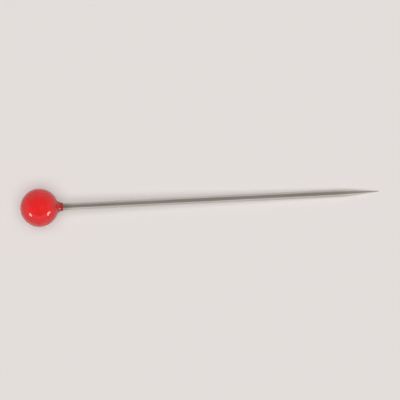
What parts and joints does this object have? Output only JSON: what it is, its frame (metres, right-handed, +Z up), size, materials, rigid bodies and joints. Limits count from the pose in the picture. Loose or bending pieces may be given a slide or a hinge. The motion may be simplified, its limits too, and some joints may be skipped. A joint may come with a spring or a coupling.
{
  "type": "straight pin",
  "caption": "Straight sewing pin: a slim plated steel shaft ground to a needle point, with a round red glass head melted on its blunt end.",
  "frame": {"origin": "on the surface that the pin lies on, under the middle of its length and width", "axes": "+X along the lying pin, from its head towards its tip; +Z up from the surface; +Y across it"},
  "size_m": [0.03, 0.0032, 0.0032],
  "materials": {
    "red_glass": "opaque red glass, fire-polished, with a slightly uneven surface",
    "nickel_plated_steel": "drawn wire with bright nickel plating, fine lines along it, ground at the point"
  },
  "bodies": {
    "root": {"glass_head": "red_glass", "steel_shaft": "nickel_plated_steel"}
  },
  "joints": []
}
